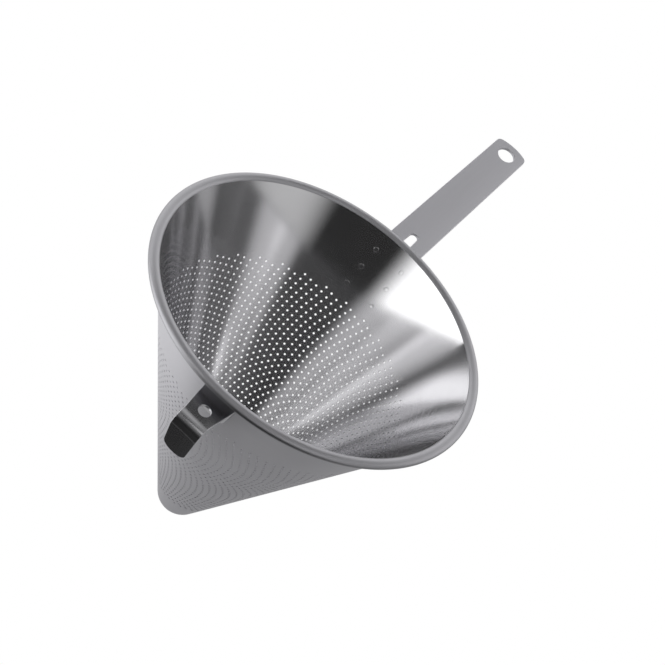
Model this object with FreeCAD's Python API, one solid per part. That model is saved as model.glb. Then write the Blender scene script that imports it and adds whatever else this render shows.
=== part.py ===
"""Chinois strainer: a perforated steel cone with a wired rim, a forked strip handle and a pot hook.

Millimetres. The origin is the centre of the rim at the middle of its bead, +Z points up along the
cone's axis and out of its mouth, +X points to the handle, and the pot hook is on the -X side.
"""
import FreeCAD, Part
import math
import os

Vector = FreeCAD.Vector
UP_AXIS = Vector(0, 0, 1)
ACROSS = Vector(0, 1, 0)
ORIGIN = Vector(0, 0, 0)

# Cone sheet and its rolled rim
rim_diameter = 200.0
bead_diameter = 6.2
sheet = 0.8
half_angle = 24.7
tip_radius = 15.0
roll_gap = 0.3
wire_clearance = 0.05

# Perforation: rows of holes on spiral arms, measured along the slant of the wall
plain_band = 45.0
plain_tip = 15.5
hole_diameter = 2.0
hole_sides = 6
hole_pitch = 12.0
row_pitch = 11.5
spiral_arms = 8

# Handle strip
handle_sheet = 2.0
handle_length = 125.5
handle_tilt = 10.5
handle_root_width = 23.7
handle_end_width = 22.2
handle_bend_radius = 2.0
handle_end_arc = 22.0
handle_corner_radius = 4.0
bead_clearance = 0.2
leg_end_width = 27.0
leg_corner_radius = 3.0
slot_length = 21.3
slot_tip_width = 5.0
slot_leg_width = 9.5
hang_hole_diameter = 11.0
hang_hole_margin = 10.0

# Pot hook strip
hook_sheet = 1.5
hook_drop = 8.0
hook_tilt = -7.0
hook_overhang = 17.7
hook_tab_width = 15.0
hook_root_width = 20.5
hook_bend_width = 16.4
hook_tip_width = 14.6
hook_root_bend_radius = 2.0
hook_outer_bend_radius = 5.5
hook_tongue_lean = 18.0
hook_tongue_length = 22.0
hook_tip_radius = 6.2
hook_tab_corner_radius = 3.0
hook_hole_diameter = 7.0
hook_hole_margin = 6.6

# Spot welds that hold both strips to the wall
lap_gap = 0.1
weld_diameter = 3.0
weld_dimple = 0.15
weld_depth_in_strip = 0.9
weld_row_pitch = 13.0
weld_bend_margin = 2.6
weld_end_margin = 6.0
handle_weld_rows = 3
handle_weld_spread = 19.6
hook_weld_rows = 2
hook_weld_spread = 11.0

# What follows from the sizes above
slope = math.radians(half_angle)
wall_up = Vector(math.sin(slope), 0, math.cos(slope))
wall_out = Vector(math.cos(slope), 0, -math.sin(slope))
bead_radius = bead_diameter / 2
bead_centre = Vector(rim_diameter / 2 - bead_radius, 0, 0)
roll_inside = bead_radius - sheet
wall_top = bead_centre - wall_out * roll_inside
rim_slant = wall_top.x / math.sin(slope)
apex = wall_top - wall_up * rim_slant
cut_margin = 5 * sheet


def wall_point(slant, outward=0.0):
    """Point in the XZ plane: slant from the apex along the wall's outer face, then straight outward."""
    return apex + wall_up * slant + wall_out * outward


def turned(direction, degrees):
    """Direction in the XZ plane, turned about +Y, from +Z towards +X."""
    return FreeCAD.Rotation(ACROSS, degrees).multVec(direction)


def around_axis(shape, degrees):
    """Copy of a shape, turned about the cone's axis."""
    copy = shape.copy()
    copy.rotate(ORIGIN, UP_AXIS, degrees)
    return copy


def arc_about(centre, radius, start, sweep):
    """Arc in the XZ plane about a centre, from a unit direction through a sweep in degrees."""
    steps = [turned(start, sweep * share) for share in (0.0, 0.5, 1.0)]
    return Part.Arc(*[centre + step * radius for step in steps]).toShape()


def joined(pieces):
    """One solid from pieces that share end faces."""
    return pieces[0].fuse(pieces[1:]).removeSplitter().Solids[0]


def rolled_cone():
    """The sheet before piercing: rounded tip, straight wall, rim rolled outward round the wire."""
    free_edge = math.degrees(math.acos((roll_inside - roll_gap) / bead_radius))
    roll_sweep = 360 - free_edge
    tip_centre = apex + UP_AXIS * (tip_radius / math.sin(slope))
    tip_inside = tip_radius - sheet
    tip_sweep = -(90 - half_angle)

    outer_tip = arc_about(tip_centre, tip_radius, wall_out, 90 - half_angle)
    inner_tip = arc_about(tip_centre, tip_inside, -UP_AXIS, tip_sweep)
    roll_inner = arc_about(bead_centre, roll_inside, -wall_out, roll_sweep)
    roll_outer = arc_about(bead_centre, bead_radius, -wall_out, roll_sweep)
    roll_stop = turned(-wall_out, roll_sweep)

    edges = [
        outer_tip,
        Part.makeLine(tip_centre + wall_out * tip_radius, wall_top),
        roll_inner,
        Part.makeLine(bead_centre + roll_stop * roll_inside, bead_centre + roll_stop * bead_radius),
        roll_outer,
        Part.makeLine(bead_centre - wall_out * bead_radius, tip_centre + wall_out * tip_inside),
        inner_tip,
        Part.makeLine(tip_centre - UP_AXIS * tip_inside, tip_centre - UP_AXIS * tip_radius),
    ]
    profile = Part.Face(Part.Wire(Part.__sortEdges__(edges)))
    return profile.revolve(ORIGIN, UP_AXIS, 360)


def spiral_arm_places():
    """Slant and azimuth of each hole on one spiral arm, at an even pitch along the arm."""
    sector = 360.0 / spiral_arms
    slant = rim_slant - plain_band
    last_slant = tip_radius / math.tan(slope) + plain_tip
    azimuth = 0.0
    places = []
    while slant > last_slant:
        places.append((slant, azimuth))
        step = math.degrees(hole_pitch / (slant * math.sin(slope)))
        azimuth -= step
        slant -= row_pitch * step / sector
    return places


def hole_drill(slant):
    """Six-sided drill through the wall at a slant, as wide over its corners as the round hole."""
    start = wall_point(slant, cut_margin)
    corners = [FreeCAD.Rotation(wall_out, 360.0 / hole_sides * corner).multVec(wall_up)
               for corner in range(hole_sides + 1)]
    outline = Part.makePolygon([start + corner * (hole_diameter / 2) for corner in corners])
    return Part.Face(outline).extrude(-wall_out * (sheet + 2 * cut_margin))


def perforation():
    """Drills for every hole of the strainer."""
    drills = []
    for slant, azimuth in spiral_arm_places():
        drill = hole_drill(slant)
        for arm in range(spiral_arms):
            drills.append(around_axis(drill, azimuth + arm * 360.0 / spiral_arms))
    return drills


def strip_section(place, inward, half_width, trough_radius, thickness):
    """Closed section of a strip: two concentric arcs across it, with the hollow side towards inward."""
    centre = place + inward * trough_radius
    hollow = []
    back = []
    for share in (-1, 0, 1):
        across = share * half_width
        near = math.sqrt(trough_radius**2 - across**2)
        far = math.sqrt((trough_radius + thickness)**2 - across**2)
        hollow.append(centre + ACROSS * across - inward * near)
        back.append(centre + ACROSS * across - inward * far)
    return Part.Wire([
        Part.Arc(*hollow).toShape(),
        Part.makeLine(hollow[2], back[2]),
        Part.Arc(*reversed(back)).toShape(),
        Part.makeLine(back[0], hollow[0]),
    ])


def straight_run(first, last):
    """Strip between two sections."""
    return Part.makeLoft([first, last], True, True)


def bend(section, centre, degrees):
    """Strip bent about an axis across it, starting from a section."""
    return Part.Face(section).revolve(centre, ACROSS, degrees)


def wrap_radius(slant):
    """Radius across a strip that lies round the wall at this slant."""
    return slant * math.tan(slope) + lap_gap


def bend_centre(face_drop, face_normal, radius):
    """Slant and place of a bend's axis, between the wall and a face line that passes below the bead."""
    start = wall_point(0, lap_gap + radius)
    height = -(face_drop + radius) - (start - bead_centre).dot(face_normal)
    slant = height / wall_up.dot(face_normal)
    return slant, wall_point(slant, lap_gap + radius)


def round_corners(solid, radius, place, outward, normal, depth):
    """Fillet the corners of a strip's end: edges through its sheet, near the end and out to both sides."""
    corners = []
    for edge in solid.Edges:
        offset = edge.CenterOfMass - place
        sides = solid.ancestorsOfType(edge, Part.Face)
        if len(sides) != 2 or not -depth < offset.dot(outward) < depth or abs(offset.dot(normal)) > depth:
            continue
        along = edge.tangentAt(edge.FirstParameter)
        if abs(along.dot(normal)) > math.cos(math.radians(20)):
            corners.append(edge)
    return solid.makeFillet(radius, corners)


class HandlePath:
    """Lines and places of the handle in the XZ plane, on the face that lies against the wall."""

    grip_out = turned(Vector(1, 0, 0), -handle_tilt)
    grip_up = turned(UP_AXIS, -handle_tilt)
    trough = wrap_radius(rim_slant)
    root_half = handle_root_width / 2
    edge_rise = trough - math.sqrt(trough**2 - root_half**2)
    bend_outside = handle_bend_radius + handle_sheet
    bend_angle = 90 - half_angle - handle_tilt
    face_drop = bead_radius + bead_clearance + edge_rise
    bend_slant, bend_axis = bend_centre(face_drop, grip_up, bend_outside)
    grip_start = bend_axis + grip_up * bend_outside
    grip_length = (rim_diameter / 2 + handle_length - grip_start.x) / grip_out.x
    grip_end = grip_start + grip_out * grip_length
    first_weld = bend_slant - weld_bend_margin
    leg_end = first_weld - (handle_weld_rows - 1) * weld_row_pitch - weld_end_margin


def handle_blank():
    """Leg, bend and grip in one strip, before the slot and the hole are cut."""
    path = HandlePath
    leg_foot = strip_section(wall_point(path.leg_end, lap_gap), -wall_out, leg_end_width / 2,
                             wrap_radius(path.leg_end), handle_sheet)
    leg_head = strip_section(wall_point(path.bend_slant, lap_gap), -wall_out, path.root_half,
                             path.trough, handle_sheet)
    grip_root = strip_section(path.grip_start, path.grip_up, path.root_half, path.trough, handle_sheet)
    grip_tip = strip_section(path.grip_end, path.grip_up, handle_end_width / 2, path.trough, handle_sheet)
    return joined([
        straight_run(leg_foot, leg_head),
        bend(leg_head, path.bend_axis, path.bend_angle),
        straight_run(grip_root, grip_tip),
    ])


def end_arc_trim():
    """What the rounded end takes off the grip."""
    path = HandlePath
    depth = path.edge_rise + handle_sheet + cut_margin
    centre = path.grip_end - path.grip_out * handle_end_arc
    base = centre - path.grip_up * depth
    height = 2 * depth
    disc = Part.makeCylinder(handle_end_arc, height, base, path.grip_up)
    rise = math.sqrt(handle_end_arc**2 - (handle_end_width / 2)**2)
    block = Part.makeBox(handle_end_arc - rise + cut_margin, 2 * handle_root_width, height)
    block.Placement = FreeCAD.Placement(
        base + path.grip_out * (rise - cut_margin / 2) - ACROSS * handle_root_width,
        FreeCAD.Rotation(ACROSS, -handle_tilt))
    return block.cut(disc)


def fork_slot():
    """Tapered slot from the legs' feet through the bend to a round end in the grip."""
    path = HandlePath
    cut_down = (wall_out - path.grip_up).normalize()
    along = turned(cut_down, -90)
    tip = path.grip_start + path.grip_out * slot_length
    foot = wall_point(path.leg_end - cut_margin, lap_gap)
    above_bend = path.bend_axis.dot(cut_down) - path.bend_outside - path.edge_rise - cut_margin
    below_strip = max(tip.dot(cut_down), foot.dot(cut_down)) + handle_sheet + cut_margin
    start = foot + cut_down * (above_bend - foot.dot(cut_down))
    far = (tip - foot).dot(along)
    half_tip = slot_tip_width / 2
    half_foot = slot_leg_width / 2
    shoulder = start + along * (far - half_tip)
    outline = Part.Wire([
        Part.makeLine(start - ACROSS * half_foot, shoulder - ACROSS * half_tip),
        Part.Arc(shoulder - ACROSS * half_tip, start + along * far, shoulder + ACROSS * half_tip).toShape(),
        Part.makeLine(shoulder + ACROSS * half_tip, start + ACROSS * half_foot),
        Part.makeLine(start + ACROSS * half_foot, start - ACROSS * half_foot),
    ])
    return Part.Face(outline).extrude(cut_down * (below_strip - above_bend))


def hang_hole():
    """Drill for the hole by which the strainer hangs."""
    path = HandlePath
    centre = path.grip_end - path.grip_out * hang_hole_margin
    length = 2 * (handle_sheet + cut_margin)
    return Part.makeCylinder(hang_hole_diameter / 2, length, centre + path.grip_up * (length / 2),
                             -path.grip_up)


def handle():
    """Forked strip handle with its two legs, slot and hanging hole."""
    path = HandlePath
    strip = handle_blank().cut([end_arc_trim(), fork_slot(), hang_hole()]).Solids[0]
    end_rise = handle_end_arc - math.sqrt(handle_end_arc**2 - (handle_end_width / 2)**2)
    strip = round_corners(strip, handle_corner_radius, path.grip_end, path.grip_out, path.grip_up,
                          end_rise + handle_sheet)
    foot = wall_point(path.leg_end, lap_gap)
    return round_corners(strip, leg_corner_radius, foot, -wall_up, wall_out, path.edge_rise + handle_sheet)


class HookPath:
    """Lines and places of the pot hook in the XZ plane, drawn on the handle's side."""

    plate_out = turned(Vector(1, 0, 0), -hook_tilt)
    plate_up = turned(UP_AXIS, -hook_tilt)
    trough = wrap_radius(rim_slant)
    root_outside = hook_root_bend_radius + hook_sheet
    root_angle = 90 - half_angle - hook_tilt
    root_slant, root_axis = bend_centre(hook_drop, plate_up, root_outside)
    plate_start = root_axis + plate_up * root_outside
    outer_outside = hook_outer_bend_radius + hook_sheet
    outer_axis_x = rim_diameter / 2 + hook_overhang - outer_outside
    plate_length = (outer_axis_x - plate_start.x + plate_up.x * outer_outside) / plate_out.x
    plate_end = plate_start + plate_out * plate_length
    outer_axis = plate_end - plate_up * outer_outside
    outer_angle = 90 + hook_tongue_lean + hook_tilt
    tongue_down = turned(plate_out, outer_angle)
    tongue_face = turned(plate_up, outer_angle)
    tongue_start = outer_axis + tongue_face * outer_outside
    tongue_end = tongue_start + tongue_down * hook_tongue_length
    first_weld = root_slant - weld_bend_margin
    tab_end = first_weld - (hook_weld_rows - 1) * weld_row_pitch - weld_end_margin


def hook_section(place, inward, width, trough_radius):
    """Section of the hook's strip at a place."""
    return strip_section(place, inward, width / 2, trough_radius, hook_sheet)


def hook_strip():
    """Tab on the wall, plate under the bead, outer bend and tongue, drawn on the handle's side."""
    path = HookPath
    tab_foot = hook_section(wall_point(path.tab_end, lap_gap), -wall_out, hook_tab_width,
                            wrap_radius(path.tab_end))
    tab_head = hook_section(wall_point(path.root_slant, lap_gap), -wall_out, hook_root_width, path.trough)
    plate_root = hook_section(path.plate_start, path.plate_up, hook_root_width, path.trough)
    plate_tip = hook_section(path.plate_end, path.plate_up, hook_bend_width, path.trough)
    tongue_root = hook_section(path.tongue_start, path.tongue_face, hook_bend_width, path.trough)
    tongue_tip = hook_section(path.tongue_end, path.tongue_face, hook_tip_width, path.trough)
    return joined([
        straight_run(tab_foot, tab_head),
        bend(tab_head, path.root_axis, path.root_angle),
        straight_run(plate_root, plate_tip),
        bend(plate_tip, path.outer_axis, path.outer_angle),
        straight_run(tongue_root, tongue_tip),
    ])


def hook_hole():
    """Drill for the hole in the hook's plate."""
    path = HookPath
    length = 2 * (hook_sheet + cut_margin)
    top = path.plate_end - path.plate_out * hook_hole_margin + path.plate_up * (length / 2)
    return Part.makeCylinder(hook_hole_diameter / 2, length, top, -path.plate_up)


def pot_hook():
    """Bent strip that catches a pot's edge, with its hole, drawn on the handle's side."""
    path = HookPath
    strip = hook_strip().cut(hook_hole()).Solids[0]
    end_depth = HandlePath.edge_rise + hook_sheet
    strip = round_corners(strip, hook_tip_radius, path.tongue_end, path.tongue_down, path.tongue_face,
                          end_depth)
    foot = wall_point(path.tab_end, lap_gap)
    return round_corners(strip, hook_tab_corner_radius, foot, -wall_up, wall_out, end_depth)


def weld_places(first_slant, rows, spread):
    """Slant and azimuth of each spot weld, in two columns beside the strip's middle line."""
    places = []
    for row in range(rows):
        slant = first_slant - row * weld_row_pitch
        azimuth = math.degrees(math.asin(spread / 2 / (slant * math.sin(slope))))
        places += [(slant, azimuth), (slant, -azimuth)]
    return places


def weld_pins(places, inner_end):
    """Round weld nuggets through the wall and into a strip, from a depth inside the wall's outer face."""
    outer_end = lap_gap + weld_depth_in_strip
    pins = []
    for slant, azimuth in places:
        start = wall_point(slant, -inner_end)
        pin = Part.makeCylinder(weld_diameter / 2, inner_end + outer_end, start, wall_out)
        pins.append(around_axis(pin, azimuth))
    return pins


def main():
    os.makedirs("parts", exist_ok=True)
    handle_welds = weld_places(HandlePath.first_weld, handle_weld_rows, handle_weld_spread)
    hook_welds = weld_places(HookPath.first_weld, hook_weld_rows, hook_weld_spread)
    nugget_depth = sheet - weld_dimple
    handle_pockets = weld_pins(handle_welds, sheet + cut_margin)
    hook_pockets = weld_pins(hook_welds, sheet + cut_margin)
    wall_cuts = perforation() + handle_pockets + [around_axis(pin, 180) for pin in hook_pockets]

    nodes = {
        "strainer_cone": rolled_cone().cut(wall_cuts).Solids[0],
        "rim_wire": Part.makeTorus(bead_centre.x, roll_inside - wire_clearance),
        "handle": handle().cut(handle_pockets).Solids[0],
        "pot_hook": around_axis(pot_hook().cut(hook_pockets).Solids[0], 180),
        "handle_spot_welds": Part.makeCompound(weld_pins(handle_welds, nugget_depth)),
        "hook_spot_welds": around_axis(Part.makeCompound(weld_pins(hook_welds, nugget_depth)), 180),
    }
    for name, shape in nodes.items():
        shape.exportStep(f"parts/{name}.step")
        print(f"{name}: {len(shape.Solids)} solids, {shape.Volume:.1f} mm3, valid {shape.isValid()}")


main()
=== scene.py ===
"""Looks of a chinois strainer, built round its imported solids.

Sizes are in millimetres in the classes and become metres in the meshes. The origin is the centre of the
rim, +Z is up along the cone's axis, +X points to the handle and the pot hook is on the -X side. A slant is
a distance along the wall from the cone's apex.
"""
import logging
import math
from dataclasses import dataclass, field
from enum import Enum, IntEnum
from typing import Any

import bpy
import numpy as np
from mathutils import Matrix, Vector
from mathutils.geometry import delaunay_2d_cdt


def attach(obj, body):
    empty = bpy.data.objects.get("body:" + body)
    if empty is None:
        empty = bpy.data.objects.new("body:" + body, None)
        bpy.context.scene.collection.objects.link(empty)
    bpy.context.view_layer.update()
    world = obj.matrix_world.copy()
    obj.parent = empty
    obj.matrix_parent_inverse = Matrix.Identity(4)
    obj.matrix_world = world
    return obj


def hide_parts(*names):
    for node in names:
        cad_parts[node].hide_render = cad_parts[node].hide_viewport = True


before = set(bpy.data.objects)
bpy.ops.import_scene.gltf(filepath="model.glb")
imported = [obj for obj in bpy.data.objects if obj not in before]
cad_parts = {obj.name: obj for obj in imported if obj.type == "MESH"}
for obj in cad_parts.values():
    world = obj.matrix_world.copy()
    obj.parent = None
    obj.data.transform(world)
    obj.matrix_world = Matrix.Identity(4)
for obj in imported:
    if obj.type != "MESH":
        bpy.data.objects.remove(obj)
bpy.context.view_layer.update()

LOG = logging.getLogger("chinois")
MM = 0.001
BODY = "root"
OFF_ZERO = 1e-8  # keeps a root off zero, because it divides
SAME_POINT = 1e-6  # points of a flat pattern that lie closer are one
WHITE = (1.0, 1.0, 1.0, 1.0)
Array = np.ndarray
Pair = tuple[float, float]
Triple = tuple[float, float, float]
Socket = bpy.types.NodeSocket


class Slot(Enum):
    """Material slots of the record."""

    SHEET = "satin_sheet"
    STRIP = "satin_strip"
    POLISHED = "polished_strip"
    WELD = "weld"
    WIRE = "wire"


class Skin(IntEnum):
    """Places of the cone's finishes in its list."""

    INSIDE = 0
    OUTSIDE = 1
    RIM = 2


class Value:
    """A shader socket in a Python expression: each operation adds one Math node."""

    def __init__(self, tree: "ShaderTree", socket: Socket) -> None:
        """Wrap an output socket of a tree."""
        self.tree = tree
        self.socket = socket

    def math(self, operation: str, *others: Any, first: Any = None) -> "Value":
        """Add a Math node.

        Args:
            operation: Name of the Math operation.
            others: Numbers or values behind this one.
            first: Number or value that goes before this one, for the reflected forms.

        Returns:
            The result as a value.
        """
        operands = [self, *others] if first is None else [first, self]
        made = self.tree.node("ShaderNodeMath", {"operation": operation}, dict(enumerate(operands)))
        return self.tree.value(made)

    def __add__(self, other: Any) -> "Value":
        """Sum."""
        return self.math("ADD", other)

    __radd__ = __add__

    def __mul__(self, other: Any) -> "Value":
        """Product."""
        return self.math("MULTIPLY", other)

    __rmul__ = __mul__

    def __sub__(self, other: Any) -> "Value":
        """Difference."""
        return self.math("SUBTRACT", other)

    def __rsub__(self, other: Any) -> "Value":
        """Difference from a number."""
        return self.math("SUBTRACT", first=other)

    def __truediv__(self, other: Any) -> "Value":
        """Quotient."""
        return self.math("DIVIDE", other)

    def __rtruediv__(self, other: Any) -> "Value":
        """Number divided by this."""
        return self.math("DIVIDE", first=other)

    def __pow__(self, other: Any) -> "Value":
        """Power."""
        return self.math("POWER", other)

    def smooth(self, low: float, high: float) -> "Value":
        """Smooth step from 0 at low to 1 at high."""
        made = self.tree.node("ShaderNodeMapRange", {"interpolation_type": "SMOOTHSTEP"},
                              {"Value": self, "From Min": low, "From Max": high})
        return self.tree.value(made, "Result")

    def between(self, low: float, high: float) -> "Value":
        """Low where this is 0 and high where it is 1."""
        return self * (high - low) + low


class ShaderTree:
    """Node tree of a material or of the world."""

    def __init__(self, owner: Any) -> None:
        """Empty the owner's node tree."""
        owner.use_nodes = True
        self.tree = owner.node_tree
        self.tree.nodes.clear()

    def node(self, kind: str, settings: dict[str, Any], sockets: dict[Any, Any]) -> bpy.types.Node:
        """Add any node.

        Args:
            kind: Node type.
            settings: Properties that are set before the sockets.
            sockets: Socket name or number to a number, a tuple, a value or an output socket.

        Returns:
            The node.
        """
        made = self.tree.nodes.new(kind)
        for key, setting in settings.items():
            setattr(made, key, setting)
        for key, given in sockets.items():
            source = given.socket if isinstance(given, Value) else given
            if isinstance(source, Socket):
                self.tree.links.new(source, made.inputs[key])
            else:
                made.inputs[key].default_value = source
        return made

    def value(self, made: bpy.types.Node, output: Any = 0) -> Value:
        """One output of a node as a value."""
        return Value(self, made.outputs[output])

    def coordinate(self, kind: str) -> Socket:
        """One kind of texture coordinate."""
        return self.node("ShaderNodeTexCoord", {}, {}).outputs[kind]

    def split(self, vector: Socket) -> list[Value]:
        """The three parts of a vector."""
        made = self.node("ShaderNodeSeparateXYZ", {}, {"Vector": vector})
        return [self.value(made, axis) for axis in range(3)]

    def place(self) -> list[Value]:
        """The three Object coordinates, in metres."""
        return self.split(self.coordinate("Object"))

    def vector(self, x: Any, y: Any, z: Any) -> Socket:
        """A vector from three values or numbers."""
        return self.node("ShaderNodeCombineXYZ", {}, {0: x, 1: y, 2: z}).outputs[0]

    def noise(self, where: Socket, scale: float, detail: float) -> Value:
        """Noise from 0 to 1 about a vector."""
        made = self.node("ShaderNodeTexNoise", {"noise_dimensions": "3D"},
                         {"Vector": where, "Scale": scale, "Detail": detail})
        return self.value(made)

    def grey(self, level: Value, tint: Triple) -> Socket:
        """A colour: the tint times a level."""
        made = self.node("ShaderNodeVectorMath", {"operation": "SCALE"}, {0: tint, "Scale": level})
        return made.outputs[0]

    def ray(self, kind: str) -> Value:
        """1 for rays of a kind and 0 for the others."""
        return self.value(self.node("ShaderNodeLightPath", {}, {}), f"Is {kind} Ray")

    def seen(self) -> Value:
        """1 for rays straight from the camera or through glass and 0 for the others."""
        return self.ray("Camera").math("MAXIMUM", self.ray("Transmission"))

    def mix(self, share: Value, first: bpy.types.Node, second: bpy.types.Node, output: str) -> None:
        """End the tree in an output node with a mix of two shaders."""
        mixed = self.node("ShaderNodeMixShader", {}, {0: share, 1: first.outputs[0], 2: second.outputs[0]})
        self.node(output, {}, {"Surface": mixed.outputs[0]})


@dataclass(frozen=True)
class Steel:
    """Stainless steel finish.

    The base colour and the roughness vary with soft smudges and with fine tool marks, and the marks also
    tilt the normal a little.
    """

    name: str
    tint: Triple
    roughness: float
    anisotropy: float  # stretch of the gloss across the tool marks
    smudge: float  # share by which smudges change the roughness
    marks: float  # share by which tool marks change roughness and colour
    bump: float  # height of the tool marks, in metres
    spun: bool  # marks run round the axis, and otherwise along the strip
    film: float = 0.0  # weight of the thin dull film of use, which shows at a flat angle
    film_look: Pair = (0.5, 1.3)  # its roughness and its index of refraction
    gloss_turn: float = 0.25  # turn of the stretched gloss
    bump_strength: float = 0.6
    smudge_noise: Pair = (38.0, 3.0)  # scale and detail
    marks_noise: Pair = (1.0, 2.0)  # scale and detail
    strip_scale: Pair = (30.0, 1800.0)  # of strip marks, along and across the strip
    spun_scale: Triple = (900.0, 1500.0, 1.3)  # of spun marks, by radius, by height and round the axis

    def marks_place(self, tree: ShaderTree) -> Socket:
        """Coordinates that are fine across the tool marks and slow along them.

        Spun marks use radius and height across, and the unit circle along, so there is no seam. Strip
        marks are fine across the strip and slow along it.

        Args:
            tree: Tree to add nodes to.

        Returns:
            The vector socket.
        """
        x, y, z = tree.place()
        if not self.spun:
            along, across = self.strip_scale
            return tree.vector(x * along, y * across, z * along)
        by_radius, by_height, around = self.spun_scale
        radius = (x * x + y * y + OFF_ZERO) ** 0.5
        return tree.vector(radius * by_radius + z * by_height, x / radius * around, y / radius * around)

    def material(self) -> bpy.types.Material:
        """Make the material.

        Returns:
            The material.
        """
        made = bpy.data.materials.new(self.name)
        tree = ShaderTree(made)
        smudge = tree.noise(tree.coordinate("Object"), *self.smudge_noise) - 0.5
        height = tree.noise(self.marks_place(tree), *self.marks_noise)
        marks = height - 0.5
        rough = (1.0 + smudge * (2 * self.smudge) + marks * (2 * self.marks)) * self.roughness
        level = 1.0 + marks * self.marks - smudge * (0.5 * self.smudge)
        bump = tree.node("ShaderNodeBump", {}, {
            "Height": height * self.bump, "Strength": self.bump_strength, "Distance": 1.0})
        shader = tree.node("ShaderNodeBsdfPrincipled", {}, {
            "Base Color": tree.grey(level, self.tint), "Metallic": 1.0, "Roughness": rough,
            "Anisotropic": self.anisotropy, "Anisotropic Rotation": self.gloss_turn,
            "Normal": bump.outputs[0], "Coat Weight": self.film,
            "Coat Roughness": self.film_look[0], "Coat IOR": self.film_look[1]})
        tree.node("ShaderNodeOutputMaterial", {}, {"Surface": shader.outputs[0]})
        return made


@dataclass(frozen=True)
class Finishes:
    """The steel finishes of the strainer."""

    inside: Steel = Steel("polished_inside", (0.665, 0.662, 0.675), 0.095, 0.75, 0.12, 0.08, 0.6e-6, True,
                          film=1.0)
    outside: Steel = Steel("spun_outside", (0.595, 0.59, 0.62), 0.45, 0.3, 0.10, 0.10, 2.5e-6, True)
    # the roll is the same sheet steel as the outside, with a darker tint that paints the roll's shade
    rim: Steel = Steel("rolled_rim", (0.36, 0.357, 0.375), 0.46, 0.2, 0.10, 0.10, 2.5e-6, True)
    strip: Steel = Steel("satin_strip", (0.56, 0.555, 0.585), 0.52, 0.0, 0.08, 0.10, 2.0e-6, False)
    mirror: Steel = Steel("mirror_strip", (0.52, 0.518, 0.535), 0.21, 0.0, 0.15, 0.10, 0.3e-6, False)
    wire: Steel = Steel("drawn_wire", (0.50, 0.50, 0.51), 0.30, 0.0, 0.2, 0.1, 1.0e-6, True)


@dataclass
class Shell:
    """A mesh in the making: vertices, faces, a normal for each face corner and a finish for each face."""

    points: list[Array] = field(default_factory=list)
    faces: list[Array] = field(default_factory=list)
    normals: list[Array] = field(default_factory=list)
    finishes: list[Array] = field(default_factory=list)
    count: int = 0

    def add_points(self, points: Array) -> Array:
        """Add vertices.

        Args:
            points: Array whose last axis is x, y, z in millimetres.

        Returns:
            Their numbers, in the shape of the array without its last axis.
        """
        numbers = self.count + np.arange(points[..., 0].size).reshape(points.shape[:-1])
        self.points.append(points.reshape(-1, 3))
        self.count += numbers.size
        return numbers

    def add_faces(self, corners: Array, normals: Array, finish: int | Array = 0) -> None:
        """Add faces of three or four corners.

        Args:
            corners: Vertex numbers, one row for each face.
            normals: Normal of each corner, or of each face.
            finish: Place of the finish in the piece's list, for all faces or for each.
        """
        self.faces.append(corners)
        self.normals.append(np.broadcast_to(normals, corners.shape + (3,)).reshape(-1, 3))
        self.finishes.append(np.broadcast_to(np.asarray(finish), corners.shape[:1]))

    def piece(self, name: str, finishes: list[Steel], slot: Slot, node: str) -> None:
        """Turn the shell into a piece that rides on the body.

        Args:
            name: Name of the piece.
            finishes: Finishes that the faces refer to.
            slot: Slot of the record; not used.
            node: CAD node that the piece stands for.
        """
        mesh = bpy.data.meshes.new(name)
        rows = [row for faces in self.faces for row in faces.tolist()]
        mesh.from_pydata((np.concatenate(self.points) * MM).tolist(), [], rows)
        mesh.polygons.foreach_set("use_smooth", np.ones(len(rows), dtype=bool))
        mesh.polygons.foreach_set("material_index", np.concatenate(self.finishes).astype(np.int32))
        normals = np.concatenate(self.normals)
        mesh.normals_split_custom_set(normals / np.linalg.norm(normals, axis=1, keepdims=True))
        for finish in finishes:
            mesh.materials.append(finish.material())
        piece = bpy.data.objects.new(name, mesh)
        bpy.context.collection.objects.link(piece)
        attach(piece, BODY)
        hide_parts(node)
        triangles = sum(faces.shape[0] * (faces.shape[1] - 2) for faces in self.faces)
        LOG.info("%s: %d vertices, %d triangles", name, self.count, triangles)


def ring_quads(lower: Array, upper: Array) -> Array:
    """Quads between two closed rings of vertex numbers, one ring along the last axis of each array."""
    return np.stack([lower, np.roll(lower, -1, -1), np.roll(upper, -1, -1), upper], -1).reshape(-1, 4)


def ring_normals(lower: Array, upper: Array) -> Array:
    """Normals at the corners of such quads, one ring along the last axis but one of each array."""
    return np.stack([lower, np.roll(lower, -1, -2), np.roll(upper, -1, -2), upper], -2).reshape(-1, 4, 3)


def ring_fan(ring: Array, centre: Array) -> Array:
    """Triangles from closed rings of vertex numbers, along the last axis, to a centre for each ring."""
    middle = np.broadcast_to(centre[..., None], ring.shape)
    return np.stack([ring, np.roll(ring, -1, -1), middle], -1).reshape(-1, 3)


def triangulated(flat: Array, edges: Array) -> Array:
    """Triangles between flat points, as near to even as the given edges let them be."""
    cut = delaunay_2d_cdt([Vector(point) for point in flat.tolist()], edges.tolist(), [], 0, SAME_POINT)
    return np.array([[cut[3][corner][0] for corner in face] for face in cut[2]])


def stage_sheet(name: str, corners: Array, material: bpy.types.Material) -> None:
    """Add a flat sheet of the studio, which isn't part of the object.

    Args:
        name: Name of the sheet.
        corners: Its four corners, in metres.
        material: Its material.
    """
    mesh = bpy.data.meshes.new(name)
    mesh.from_pydata(corners.tolist(), [], [[0, 1, 2, 3]])
    mesh.materials.append(material)
    sheet = bpy.data.objects.new(name, mesh)
    bpy.context.collection.objects.link(sheet)


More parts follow.
